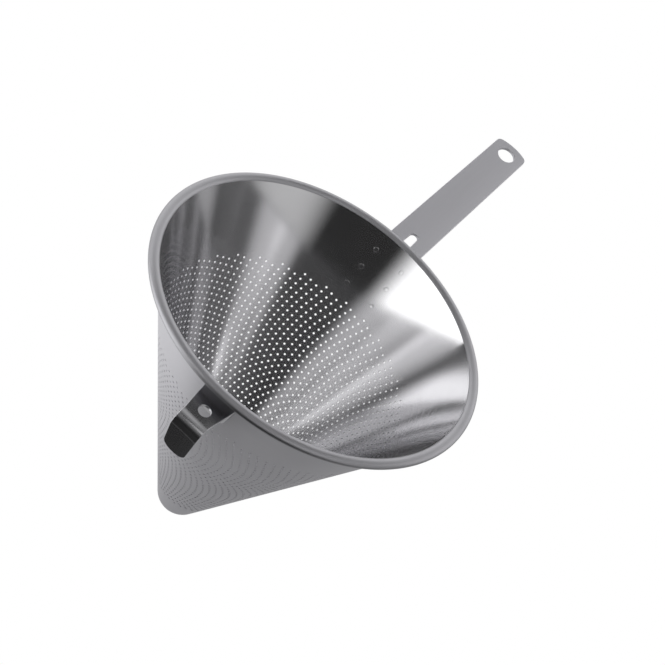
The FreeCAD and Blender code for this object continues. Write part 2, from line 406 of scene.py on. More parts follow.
@dataclass
class ConeSheet:
    """The cone: one sheet with a rounded tip, a field of holes and a rim rolled outward round a wire."""

    rim_radius: float = 100.0  # over the bead
    bead_radius: float = 3.1  # of the round bead, which sets where the wall and the strips are
    roll: Pair = (3.174, 2.25)  # half width and half height of the roll, pressed a little flat in the bead
    sheet: float = 0.8  # thickness
    half_angle: float = 24.7  # half of the cone's angle, in degrees
    tip_radius: float = 15.0  # of the rounded tip, outside
    roll_gap: float = 0.3  # between the free edge of the roll and the wall
    wire_gap: float = 0.05  # between the wire and the inside of the roll
    sectors: int = 32  # spiral arms of holes
    rows: int = 91  # holes on each arm
    hole_radius: float = 0.7
    hole_sides: int = 10
    hole_turn: float = 0.3  # turn of a hole's corners, as a share of the angle between them
    turn: tuple[float, ...] = (103.0, -3.51, 0.0061, -0.000178)  # azimuth on an arm, a cubic in the number
    climb: tuple[float, ...] = (180.29, -1.2521, 0.0035, -6.58e-5)  # slant of the holes, another cubic
    field_slants: Pair = (44.5, 184.0)  # of the rings that close the field of holes, below and above
    seam: float = 0.4  # where the triangles of a sector start, as a share of its width
    columns: int = 8  # columns of the plain parts for each sector
    rim_rings: tuple[int, int, int] = (7, 41, 21)  # rings of the plain band, of the roll and of its inside
    tip_rings: tuple[int, int] = (4, 11)  # rings of the lower wall and of the rounded tip
    wire_sides: int = 20

    def __post_init__(self) -> None:
        """Work out the wall's directions in the plane of radius and height, its apex and its rim."""
        self.slope = math.radians(self.half_angle)
        self.up = np.array([math.sin(self.slope), math.cos(self.slope)])
        self.out = np.array([math.cos(self.slope), -math.sin(self.slope)])
        self.bead = np.array([self.rim_radius - self.bead_radius, 0.0])
        top = self.bead - self.out * (self.bead_radius - self.sheet)
        self.rim_slant = top[0] / self.up[0]
        self.apex = top - self.up * self.rim_slant
        self.roll_reach = math.hypot(self.roll[0] * self.up[1], self.roll[1] * self.up[0])
        self.roll_centre = self.bead - np.array([(self.bead_radius - self.roll_reach) / self.up[1], 0.0])
        around = self.sectors * self.columns
        self.azimuth = np.arange(around) * (2 * math.pi / around)
        self.pierced = self.rows * self.hole_sides

    def wall(self, slant: float | Array, outward: float = 0.0) -> Array:
        """Radius and height at a slant, then straight outward from the outer face."""
        return self.apex + np.multiply.outer(slant, self.up) + np.multiply.outer(outward, self.out)

    @staticmethod
    def spun(profile: Array, azimuth: Array) -> Array:
        """Points or directions (radius, height) turned round the axis by azimuths in radians."""
        radius, height = profile[..., 0], profile[..., 1]
        return np.stack([radius * np.cos(azimuth), radius * np.sin(azimuth), height + 0 * azimuth], -1)

    def bend_axis(self, off: float, drop: float, face: Array) -> tuple[float, Array]:
        """Axis of a strip's bend beside the wall.

        Args:
            off: Distance of the axis from the outer face of the wall.
            drop: Distance of the axis below the middle of the bead, along a normal.
            face: That normal, as radius and height.

        Returns:
            Slant of the axis, and its radius and height.
        """
        slant = (-drop - (self.wall(0.0, off) - self.bead) @ face) / (self.up @ face)
        return slant, self.wall(slant, off)

    def hole_rim(self, arms: Array, number: Array) -> tuple[Array, Array]:
        """Corners of holes on the unrolled cone.

        The wall unrolls to a plane where slant is the distance from the apex, and the azimuth shrinks by
        the sine of the half angle. A hole is a regular polygon there, turned with its place.

        Args:
            arms: Spiral arm of each hole.
            number: Number of each hole on its arm.

        Returns:
            Slant and azimuth in radians of each corner, with the corners on the last axis.
        """
        powers = np.stack([number**power for power in range(4)], -1).astype(float)
        slant = powers @ np.array(self.climb)
        azimuth = np.radians(powers @ np.array(self.turn) + arms * (360.0 / self.sectors))
        corner = (np.arange(self.hole_sides) + self.hole_turn) * (2 * math.pi / self.hole_sides)
        along = slant[..., None] + self.hole_radius * np.cos(corner)
        across = self.hole_radius * np.sin(corner)
        turned = np.arctan2(across, along) / math.sin(self.slope)
        return np.hypot(along, across), azimuth[..., None] + turned

    def sector_triangles(self) -> Array:
        """Triangles of one sector of the pierced wall, between the holes and the two closing rings.

        A wedge four sectors wide is unrolled and triangulated, the triangles inside the holes are left
        out, and those whose centre lies in one sector in its middle are kept.

        Returns:
            Array of (triangle, corner, 2): a sector number, and the corner's number within its sector.
        """
        step = 2 * math.pi / self.sectors
        number = np.arange(self.rows)
        first = np.ceil(-1.5 - np.radians(np.polyval(self.turn[::-1], number)) / step)
        arms = (first[:, None] + np.arange(4)).astype(int)
        number = np.broadcast_to(number[:, None], arms.shape)
        corner = number[..., None] * self.hole_sides + np.arange(self.hole_sides)
        labels = [np.stack(np.broadcast_arrays(arms[..., None], corner), -1).reshape(-1, 2)]
        places = [np.stack(self.hole_rim(arms, number), -1).reshape(-1, 2)]
        half = self.columns // 2
        column = np.arange(-self.columns - half, 2 * self.columns + half + 1)
        for ring, ring_slant in enumerate(self.field_slants):
            start = self.pierced + ring * self.columns
            labels.append(np.stack([column // self.columns, start + column % self.columns], -1))
            places.append(np.stack([np.full(column.size, ring_slant), column * (step / self.columns)], -1))
        label, place = np.concatenate(labels), np.concatenate(places)
        angle = place[:, 1] * math.sin(self.slope)
        flat = place[:, :1] * np.stack([np.cos(angle), np.sin(angle)], -1)
        hole = np.arange(arms.size * self.hole_sides).reshape(-1, self.hole_sides)
        triangles = triangulated(flat, np.stack([hole, np.roll(hole, -1, 1)], -1).reshape(-1, 2))
        owner = np.arange(len(label)) // self.hole_sides
        owner[hole.size:] = -1 - np.arange(2).repeat(column.size)
        owner = owner[triangles]
        kept = (owner[:, 0] != owner[:, 1]) | (owner[:, 1] != owner[:, 2])
        centre = flat[triangles].mean(1)
        turn = np.arctan2(centre[:, 1], centre[:, 0]) / math.sin(self.slope) / step
        return label[triangles[kept & (turn >= self.seam) & (turn < self.seam + 1)]]

    def pierced_wall(self, shell: Shell) -> tuple[Array, ...]:
        """Add both skins of the pierced wall and the walls of its holes.

        Args:
            shell: Shell to add to.

        Returns:
            Vertex numbers of the closing rings, as (ring, column) arrays for the outer and inner skin.
        """
        sector = np.arange(self.sectors)
        arm, number = np.meshgrid(sector, np.arange(self.rows), indexing="ij")
        slant, azimuth = (part.reshape(self.sectors, -1) for part in self.hole_rim(arm, number))
        ring_slant = np.tile(np.repeat(self.field_slants, self.columns), (self.sectors, 1))
        ring_turn = self.azimuth.reshape(self.sectors, -1)
        slant = np.concatenate([slant, ring_slant], 1)
        azimuth = np.concatenate([azimuth, ring_turn, ring_turn], 1)
        outer, inner = (shell.add_points(self.spun(self.wall(slant, outward), azimuth))
                        for outward in (0.0, -self.sheet))

        label = self.sector_triangles()
        owner = (label[..., 0] + sector[:, None, None]) % self.sectors
        corner = (owner * slant.shape[1] + label[..., 1]).reshape(-1, 3)
        normal = self.spun(self.out, azimuth).reshape(-1, 3)[corner]
        shell.add_faces(outer.reshape(-1)[corner][:, ::-1], normal[:, ::-1], Skin.OUTSIDE)
        shell.add_faces(inner.reshape(-1)[corner], -normal, Skin.INSIDE)

        shape = (self.sectors, self.rows, self.hole_sides)
        rim_out, rim_in = (skin[:, :self.pierced].reshape(shape) for skin in (outer, inner))
        edge = np.concatenate(shell.points)[rim_out]
        inward = edge.mean(2, keepdims=True) - edge
        shell.add_faces(ring_quads(rim_in, rim_out), ring_normals(inward, inward), Skin.OUTSIDE)
        return tuple(skin[:, self.pierced:].reshape(self.sectors, 2, -1).swapaxes(0, 1).reshape(2, -1)
                     for skin in (outer, inner))

    def revolve(self, shell: Shell, profile: Array, normals: tuple[Array, Array], finish: Array,
                first: Array, last: Array | None = None, side: int = 1) -> Array:
        """Add a profile turned round the axis.

        Args:
            shell: Shell to add to.
            profile: Radius and height of each ring.
            normals: Normals at the start and at the end of each stretch between two rings.
            finish: Finish of each stretch.
            first: Vertex numbers of the first ring, which exists already.
            last: Vertex numbers of the last ring if it exists already.
            side: 1 where the metal lies on the right of the profile's way, -1 where it lies on the left.

        Returns:
            Vertex numbers as (ring, column).
        """
        made = shell.add_points(self.spun(profile[1:None if last is None else -1, None], self.azimuth))
        rings = np.concatenate([first[None], made, *([] if last is None else [last[None]])])
        starts, stops = (self.spun(normal[:, None], self.azimuth) for normal in normals)
        quads, corner = ring_quads(rings[:-1], rings[1:]), ring_normals(starts, stops)
        shell.add_faces(quads[:, ::-side], corner[:, ::-side], np.repeat(finish, len(self.azimuth)))
        return rings

    def oval(self, angle: Array, inset: float = 0.0) -> tuple[Array, Array]:
        """An ellipse about the middle of the roll.

        Args:
            angle: Angles from the top, in radians.
            inset: Length by which both of its half axes are shorter than those of the roll.

        Returns:
            Points as radius and height, and unit normals.
        """
        wide, high = (half - inset for half in self.roll)
        normal = np.stack([np.sin(angle) / wide, np.cos(angle) / high], -1)
        points = self.roll_centre + np.stack([wide * np.sin(angle), high * np.cos(angle)], -1)
        return points, normal / np.linalg.norm(normal, axis=1, keepdims=True)

    def rolled_rim(self, shell: Shell, outer: Array, inner: Array) -> None:
        """Add the plain band and the roll: up the inner skin, round the roll, back inside it and down.

        The roll is an ellipse that starts where it runs along the wall and stops a gap before the wall. Its
        inside lies one sheet thickness behind it, along its normal.

        Args:
            shell: Shell to add to.
            outer: Top ring of the outer skin.
            inner: Top ring of the inner skin.
        """
        wide, high = self.roll
        start = math.atan2(high * self.up[0], wide * self.up[1]) - math.pi / 2
        free = 2 * math.pi - math.acos(1 - (self.sheet + self.roll_gap) / self.roll_reach)
        band_rings, roll_rings, back_rings = self.rim_rings
        skin, ray = self.oval(start + np.linspace(0, free, roll_rings))
        skin_back, ray_back = self.oval(start + np.linspace(free, 0, back_rings))
        end = np.array([[ray[-1, 1], -ray[-1, 0]]])
        band = np.linspace(self.field_slants[1], (skin[0] - self.apex) @ self.up, band_rings)
        profile = np.concatenate([self.wall(band, -self.sheet)[:-1], skin,
                                  skin_back - self.sheet * ray_back, self.wall(band)[-2::-1]])
        wall = np.repeat(self.out[None], band_rings - 1, 0)
        starts = np.concatenate([-wall, ray[:-1], end, -ray_back[:-1], wall])
        stops = np.concatenate([-wall, ray[1:], end, -ray_back[1:], wall])
        finish = np.repeat([Skin.INSIDE, Skin.RIM, Skin.OUTSIDE],
                           [band_rings - 1, roll_rings, back_rings + band_rings - 2])
        self.revolve(shell, profile, (starts, stops), finish, inner, outer)

    def rounded_tip(self, shell: Shell, ring: Array, skin: Skin) -> None:
        """Add one skin of the lower wall and its rounded tip, a part of a sphere closed at the pole.

        Args:
            shell: Shell to add to.
            ring: Bottom ring of that skin.
            skin: The outside or the inside.
        """
        side, depth = (1, 0.0) if skin is Skin.OUTSIDE else (-1, self.sheet)
        wall_rings, round_rings = self.tip_rings
        radius = self.tip_radius - depth
        start = self.tip_radius / math.tan(self.slope)
        centre = self.wall(start) - self.out * self.tip_radius
        angle = np.linspace(math.atan2(self.out[0], -self.out[1]), 0, round_rings)[:-1]
        ray = np.stack([np.sin(angle), -np.cos(angle)], -1)
        lower = np.linspace(self.field_slants[0], start, wall_rings)[:-1]
        profile = np.concatenate([self.wall(lower, -depth), centre + radius * ray])
        normal = side * np.concatenate([np.repeat(self.out[None], len(lower), 0), ray])
        finish = np.full(len(profile) - 1, skin)
        rings = self.revolve(shell, profile, (normal[:-1], normal[1:]), finish, ring, side=side)
        pole = shell.add_points(np.array([[0.0, 0.0, centre[1] - radius]]))
        spread = self.spun(normal[-1], self.azimuth)
        down = np.broadcast_to(np.array([0.0, 0.0, -side]), spread.shape)
        corner = np.stack([spread, np.roll(spread, -1, 0), down], 1)
        shell.add_faces(ring_fan(rings[-1:], pole)[:, ::-side], corner[:, ::-side], skin)

    def wire(self, finishes: Finishes) -> None:
        """Build the wire in the roll: an ellipse a little smaller than the roll's inside, turned round.

        Args:
            finishes: The finishes.
        """
        shell = Shell()
        angle = np.linspace(0, 2 * math.pi, self.wire_sides + 1)
        profile, normal = self.oval(angle, self.sheet + self.wire_gap)
        start = shell.add_points(self.spun(profile[0], self.azimuth))
        finish = np.zeros(self.wire_sides, dtype=int)
        self.revolve(shell, profile, (normal[:-1], normal[1:]), finish, start, start)
        shell.piece("rolled_in_wire", [finishes.wire], Slot.WIRE, "rim_wire")

    def build(self, finishes: Finishes) -> None:
        """Build the sheet as one closed mesh.

        Args:
            finishes: The finishes.
        """
        shell = Shell()
        outer, inner = self.pierced_wall(shell)
        self.rolled_rim(shell, outer[1], inner[1])
        self.rounded_tip(shell, outer[0], Skin.OUTSIDE)
        self.rounded_tip(shell, inner[0], Skin.INSIDE)
        steels = [finishes.inside, finishes.outside, finishes.rim]
        shell.piece("cone_sheet", steels, Slot.SHEET, "strainer_cone")


def arc(centre: Pair, radius: float, start: float, stop: float, steps: int = 12) -> Array:
    """Points of a circle's arc, between two angles in degrees."""
    angle = np.radians(np.linspace(start, stop, steps))
    return np.array(centre) + radius * np.stack([np.cos(angle), np.sin(angle)], -1)


def evenly(loop: Array, pitch: float) -> Array:
    """Points at an even pitch along a closed polyline.

    Args:
        loop: Corners of the polyline.
        pitch: Wanted distance along it; a short loop still gets twelve points.

    Returns:
        The points.
    """
    closed = np.concatenate([loop, loop[:1]])
    length = np.concatenate([[0.0], np.cumsum(np.linalg.norm(np.diff(closed, axis=0), axis=1))])
    place = np.linspace(0, length[-1], max(12, round(length[-1] / pitch)), endpoint=False)
    return np.stack([np.interp(place, length, closed[:, axis]) for axis in (0, 1)], -1)


@dataclass
class BentStrip:
    """A strip cut from flat sheet, then bent: straight runs joined by bends about axes across the strip.

    The flat pattern has u along the strip and v across it. The face that lies on the wall is carried along
    the bent line, and its section is hollow with a trough radius.
    """

    thickness: float
    edge: float  # radius of its rounded edges
    start: Array  # radius and height of the lower end, on the face towards the wall
    lean: float  # direction of that face's normal at the start, in degrees from +Z towards +X
    runs: list[Pair]  # length and turn in degrees of each run; a straight run has no turn
    troughs: Pair  # trough radius at both ends of the first run, kept from there on
    line_steps: int = 6001  # points that follow the bent line
    edge_rows: int = 5  # rows of points on a quarter round of an edge
    pitches: Pair = (0.45, 2.2)  # of the points on the faces, along bends and along straight runs
    cover: tuple[float, int] = (14.0, 21)  # half of the width that those cover, and how many lie across it
    margin: float = 0.7  # least distance of those from the outlines
    sliver: float = 1e-4  # triangles with less than half of this area are left out

    def __post_init__(self) -> None:
        """Follow the bent line in fine steps: the turn is even along each run, and the place is its sum."""
        lengths, turns = np.array(self.runs).T
        self.breaks = np.concatenate([[0.0], np.cumsum(lengths)])
        angles = math.radians(self.lean) + np.concatenate([[0.0], np.cumsum(np.radians(turns))])
        steps = np.linspace(0, self.breaks[-1], self.line_steps)
        self.fine = np.unique(np.concatenate([steps, self.breaks]))
        self.angle = np.interp(self.fine, self.breaks, angles)
        tangent = np.stack([np.cos(self.angle), -np.sin(self.angle)], -1)
        moves = (tangent[1:] + tangent[:-1]) / 2 * np.diff(self.fine)[:, None]
        self.line = self.start + np.concatenate([np.zeros((1, 2)), np.cumsum(moves, axis=0)])

    def frame_at(self, u: Array) -> tuple[Array, Array, Array, Array]:
        """The bent line at places along the strip.

        Args:
            u: Places along the strip.

        Returns:
            Place, face normal and direction of the line, as x, y, z, and the trough radius.
        """
        angle = np.interp(u, self.fine, self.angle)
        x, z = (np.interp(u, self.fine, self.line[:, axis]) for axis in (0, 1))
        none, sine, cosine = np.zeros_like(angle), np.sin(angle), np.cos(angle)
        trough = np.interp(u, self.breaks[:2], self.troughs)
        return (np.stack([x, none, z], -1), np.stack([sine, none, cosine], -1),
                np.stack([cosine, none, -sine], -1), trough)

    def folded(self, u: Array, v: Array, depth: Array) -> tuple[Array, Array, Array, Array]:
        """Carry points of the flat pattern onto the bent strip.

        A section is an arc about a centre that lies the trough radius above the bent line, so a point at
        v and at a depth below the face sits at the height where that arc is.

        Args:
            u: Place along the strip.
            v: Place across it.
            depth: Depth below the face towards the wall.

        Returns:
            Points, and the directions of the face normal, of growing u and of growing v there.
        """
        place, normal, along, trough = self.frame_at(u)
        reach = np.sqrt((trough + depth) ** 2 - v**2)
        across = np.array([0.0, 1.0, 0.0])
        points = place + across * v[:, None] + normal * (trough - reach)[:, None]
        share = (v / (trough + depth))[:, None]
        level = np.sqrt(1 - share**2)
        return points, normal * level - across * share, along, across * level + normal * share

    def build(self, shell: Shell, loops: list[Array], pitch: float, turned: bool) -> None:
        """Add the strip: two faces from the flat pattern, joined round every edge by a rounded border.

        Args:
            shell: Shell to add to.
            loops: Closed outlines with the strip on their left; the first is the outside.
            pitch: Pitch of the points along the outlines.
            turned: True to turn the strip half round the axis.
        """
        loops = [evenly(loop, pitch) for loop in loops]
        sizes = [len(loop) for loop in loops]
        starts = np.cumsum([0, *sizes[:-1]])
        after = np.concatenate([start + np.roll(np.arange(size), -1) for start, size in zip(starts, sizes)])
        rim = np.concatenate(loops)
        ahead = np.concatenate([np.roll(loop, -1, 0) - np.roll(loop, 1, 0) for loop in loops])
        side = np.stack([ahead[:, 1], -ahead[:, 0]], -1) / np.linalg.norm(ahead, axis=1, keepdims=True)

        inset = rim - side * self.edge
        grid = self.filling(inset, after)
        flat = np.concatenate([inset, grid])
        triangles = triangulated(flat, np.stack([np.arange(len(rim)), after], -1))
        first, second = (flat[triangles[:, corner]] - flat[triangles[:, 0]] for corner in (1, 2))
        area = first[:, 0] * second[:, 1] - first[:, 1] * second[:, 0]
        triangles = triangles[self.within(flat[triangles].mean(1), inset, after) & (area > self.sliver)]

        quarter = np.linspace(0, math.pi / 2, self.edge_rows)
        swell = np.concatenate([np.sin(quarter), np.sin(quarter)[::-1]])
        face = np.concatenate([np.cos(quarter), -np.cos(quarter)[::-1]])
        sink = self.edge * (1 - np.cos(quarter))
        depth = np.concatenate([sink, self.thickness - sink[::-1]])
        rows, count = len(swell), len(rim)
        place = (rim - side * self.edge * (1 - swell)[:, None, None]).reshape(-1, 2)
        points, normal, along, across = self.folded(*place.T, np.repeat(depth, count))
        wide = np.tile(side, (rows, 1))
        bulge = along * wide[:, :1] + across * wide[:, 1:]
        rounded = normal * np.repeat(face, count)[:, None] + bulge * np.repeat(swell, count)[:, None]

        spin = np.array([-1.0, -1.0, 1.0]) if turned else np.ones(3)
        border = shell.add_points((points * spin).reshape(rows, count, 3))
        held = (rounded * spin).reshape(rows, count, 3)
        quads, corner = (np.stack([row[:-1], row[:-1, after], row[1:, after], row[1:]], 2)
                         for row in (border, held))
        shell.add_faces(quads.reshape(-1, 4)[:, ::-1], corner.reshape(-1, 4, 3)[:, ::-1])
        for row, sign, level in ((0, 1, 0.0), (-1, -1, self.thickness)):
            inner, facing, _, _ = self.folded(*grid.T, np.full(len(grid), level))
            numbers = np.concatenate([border[row], shell.add_points(inner * spin)])
            normals = np.concatenate([held[row], sign * facing * spin])
            turn = triangles[:, ::sign]
            shell.add_faces(numbers[turn], normals[turn])

    def filling(self, inset: Array, after: Array) -> Array:
        """Points inside the pattern, close together along the bends, so that the faces bend smoothly.

        Args:
            inset: Corners of the outlines.
            after: Number of the corner behind each corner.

        Returns:
            The points (u, v).
        """
        spans = []
        for low, high, (_, turn) in zip(self.breaks[:-1], self.breaks[1:], self.runs):
            pitch = self.pitches[0] if turn else self.pitches[1]
            spans.append(np.linspace(low, high, max(3, math.ceil((high - low) / pitch)), endpoint=False))
        half, count = self.cover
        u, v = np.meshgrid(np.concatenate(spans), np.linspace(-half, half, count), indexing="ij")
        points = np.stack([u.ravel(), v.ravel()], -1)
        points = points[self.within(points, inset, after)]
        gap = np.min(np.linalg.norm(points[:, None, :] - inset[None], axis=2), axis=1)
        return points[gap > self.margin]

    @staticmethod
    def within(points: Array, corners: Array, after: Array) -> Array:
        """Find points inside the outlines: a line to one side crosses them an odd number of times.

        Args:
            points: Points (u, v).
            corners: Corners of the outlines.
            after: Number of the corner behind each corner.

        Returns:
            True for each point inside.
        """
        low, high = corners[None], corners[after][None]
        level = points[:, None, 1]
        spans = (low[..., 1] > level) != (high[..., 1] > level)
        rise = np.where(high[..., 1] == low[..., 1], 1.0, high[..., 1] - low[..., 1])
        meet = low[..., 0] + (level - low[..., 1]) / rise * (high[..., 0] - low[..., 0])
        return np.count_nonzero(spans & (points[:, None, 0] < meet), axis=1) % 2 == 1


@dataclass
class WallStrip:
    """A bent strip whose first run lies on the outside of the cone's wall."""

    thickness: float
    edge: float  # radius of its edges
    lap: float  # gap between the wall and the strip

    def bent(self, cone: ConeSheet, foot: float, runs: list[Pair]) -> BentStrip:
        """The strip bent from its foot at a slant; its trough is the cone's own, a lap further out."""
        troughs = tuple(slant * math.tan(cone.slope) + self.lap for slant in (foot, cone.rim_slant))
        return BentStrip(self.thickness, self.edge, cone.wall(foot, self.lap), cone.half_angle - 90, runs,
                         troughs)


@dataclass
class Handle(WallStrip):
    """Forked strip handle: two legs on the wall, a bend under the bead, a grip with a slot and a hole."""

    thickness: float = 2.0
    edge: float = 0.4
    lap: float = 0.1
    tilt: float = 10.5  # rise of the grip, in degrees
    bend_radius: float = 2.0  # inside the bend
    reach: float = 125.5  # length of the grip beyond the rim's edge
    clearance: float = 0.2  # gap between the bead and the grip's edges
    leg_length: float = 34.6  # below the bend
    widths: Triple = (27.0, 23.7, 22.2)  # at the legs' feet, at the bend and at the grip's end
    slot: Triple = (9.5, 5.0, 21.3)  # widths at the feet and at the tip, and length in the grip
    slot_steps: tuple[int, int] = (80, 16)  # points along the slot's edge and round its end
    end_arc: float = 22.0  # radius of the grip's end
    corner: Pair = (4.0, 3.0)  # radii of the grip's corners and of the legs' corners
    hole: Pair = (5.5, 10.0)  # radius of the hanging hole and distance of its centre from the end
    pitch: float = 0.6  # of the points along the outlines

    def strip(self, cone: ConeSheet) -> BentStrip:
        """Bend the strip: up the wall to a bend that just clears the bead, then out along the grip.

        Args:
            cone: The cone that carries it.

        Returns:
            The bent strip.
        """
        trough = cone.rim_slant * math.tan(cone.slope) + self.lap
        half = self.widths[1] / 2
        drop = cone.bead_radius + self.clearance + trough - math.sqrt(trough**2 - half**2)
        outside = self.bend_radius + self.thickness
        tilt = math.radians(self.tilt)
        face = np.array([-math.sin(tilt), math.cos(tilt)])
        slant, axis = cone.bend_axis(self.lap + outside, drop + outside, face)
        grip = (cone.rim_radius + self.reach - (axis + face * outside)[0]) / math.cos(tilt)
        turn = 90 - cone.half_angle - self.tilt
        runs = [(self.leg_length, 0), (outside * math.radians(turn), turn), (grip, 0)]
        return self.bent(cone, slant - self.leg_length, runs)

    def slot_edge(self, strip: BentStrip) -> Array:
        """One edge of the tapered slot, from the foot to the middle of its round end.

        The slot is cut straight through, half way between the directions of legs and grip, so its width is
        linear along the chord from foot to tip.

        Args:
            strip: The bent strip.

        Returns:
            Points (u, v) with v above zero, ending on the middle line.
        """
        middle = (math.radians(strip.lean) - math.radians(self.tilt)) / 2
        along = (strip.line - strip.line[0]) @ np.array([math.cos(middle), -math.sin(middle)])
        far = np.interp(strip.breaks[2] + self.slot[2], strip.fine, along)
        half_foot, half_tip = self.slot[0] / 2, self.slot[1] / 2
        run = np.linspace(0, far - half_tip, self.slot_steps[0])
        turn = np.linspace(0, math.pi / 2, self.slot_steps[1])[1:]
        reach = np.concatenate([run, far - half_tip + half_tip * np.sin(turn)])
        taper = half_foot + (half_tip - half_foot) * run / run[-1]
        width = np.concatenate([taper, half_tip * np.cos(turn)])
        return np.stack([np.interp(reach, along, strip.fine), width], -1)

    def outlines(self, strip: BentStrip) -> list[Array]:
        """Draw the flat pattern with its slot, and the hanging hole.

        Args:
            strip: The bent strip.

        Returns:
            Closed outlines (u, v).
        """
        end = strip.breaks[-1]
        half_foot, half_root, half_end = (width / 2 for width in self.widths)
        grip_corner, leg_corner = self.corner
        side = np.array([[strip.breaks[1], half_root], [strip.breaks[2], half_root]])
        level = half_end - grip_corner
        centre = end - self.end_arc + math.sqrt((self.end_arc - grip_corner) ** 2 - level**2)
        meet = math.degrees(math.asin(level / (self.end_arc - grip_corner)))
        tip = np.concatenate([arc((centre, level), grip_corner, 90, meet),
                              arc((end - self.end_arc, 0), self.end_arc, meet, 0)])
        slot = self.slot_edge(strip)
        slot = slot[slot[:, 0] > leg_corner]
        foot = np.concatenate([arc((leg_corner, slot[0, 1] + leg_corner), leg_corner, 270, 180),
                               arc((leg_corner, half_foot - leg_corner), leg_corner, 180, 90)])
        upper = np.concatenate([slot[::-1], foot, side, tip])
        lower = upper[::-1] * np.array([1, -1])
        radius, margin = self.hole
        hole = arc((end - margin, 0), radius, 360, 0, steps=73)[:-1]
        return [np.concatenate([upper, lower])[::-1], hole]

    def build(self, cone: ConeSheet, finishes: Finishes) -> None:
        """Build the handle.

        Args:
            cone: The cone that carries it.
            finishes: The finishes.
        """
        shell = Shell()
        strip = self.strip(cone)
        strip.build(shell, self.outlines(strip), self.pitch, False)
        shell.piece("handle_strip", [finishes.strip], Slot.STRIP, "handle")


@dataclass
class PotHook(WallStrip):
    """Polished strip that catches a pot's edge: tab on the wall, plate with a hole, bend and tongue."""

    thickness: float = 1.5
    edge: float = 0.3
    lap: float = 0.1
    drop: float = 8.0  # depth of the plate's line below the middle of the bead
    tilt: float = 7.0  # fall of the plate, in degrees
    overhang: float = 17.7  # reach beyond the rim's edge
    bends: Pair = (2.0, 5.5)  # inside radii of the bend at the wall and of the outer bend
    lean: float = 18.0  # lean of the tongue towards the wall, in degrees
    tab_length: float = 21.6  # below the bend
    tongue_length: float = 22.0  # below the outer bend
    widths: tuple[float, ...] = (15.0, 20.5, 16.4, 14.6)  # at tab's foot, root, outer bend and tip
    corner: Pair = (6.2, 3.0)  # radii of the tongue's corners and of the tab's corners
    hole: Pair = (3.5, 6.6)  # radius of the hole and distance of its centre from the outer bend
    pitch: float = 0.4  # of the points along the outlines

    def strip(self, cone: ConeSheet) -> BentStrip:
        """Bend the strip: up the wall, out along the plate, then down the tongue.

        Args:
            cone: The cone that carries it.

        Returns:
            The bent strip.
        """
        root, outer = (radius + self.thickness for radius in self.bends)
        tilt = math.radians(self.tilt)
        face = np.array([math.sin(tilt), math.cos(tilt)])
        slant, axis = cone.bend_axis(self.lap + root, self.drop + root, face)
        plate_start = (axis + face * root)[0]
        plate = (cone.rim_radius + self.overhang - outer - plate_start + face[0] * outer) / math.cos(tilt)
        first, second = 90 - cone.half_angle + self.tilt, 90 + self.lean - self.tilt
        runs = [(self.tab_length, 0), (root * math.radians(first), first), (plate, 0),
                (outer * math.radians(second), second), (self.tongue_length, 0)]
        return self.bent(cone, slant - self.tab_length, runs)

    def outlines(self, strip: BentStrip) -> list[Array]:
        """Draw the flat pattern, with a tab that tapers to its foot, and the hole.

        Args:
            strip: The bent strip.

        Returns:
            Closed outlines (u, v).
        """
        end = strip.breaks[-1]
        half_tab, half_root, half_bend, half_tip = (width / 2 for width in self.widths)
        tip_corner, tab_corner = self.corner
        taper = (half_root - half_tab) / self.tab_length
        level = half_tab + tab_corner * (taper - math.hypot(1, taper))
        meet = 90 + math.degrees(math.atan(taper))
        foot = np.concatenate([[[0.0, 0.0]], arc((tab_corner, level), tab_corner, 180, meet)])
        side = np.stack([strip.breaks[1:5], [half_root, half_root, half_bend, half_bend]], -1)
        tip = arc((end - tip_corner, half_tip - tip_corner), tip_corner, 90, 0, steps=24)
        upper = np.concatenate([foot, side, tip, [[end, 0.0]]])
        lower = upper[::-1] * np.array([1, -1])
        radius, margin = self.hole
        hole = arc((strip.breaks[3] - margin, 0), radius, 360, 0, steps=61)[:-1]
        return [np.concatenate([upper, lower[1:-1]])[::-1], hole]

    def build(self, cone: ConeSheet, finishes: Finishes) -> None:
        """Build the pot hook.

        Args:
            cone: The cone that carries it.
            finishes: The finishes.
        """
        shell = Shell()
        strip = self.strip(cone)
        strip.build(shell, self.outlines(strip), self.pitch, True)
        shell.piece("hook_strip", [finishes.mirror], Slot.POLISHED, "pot_hook")


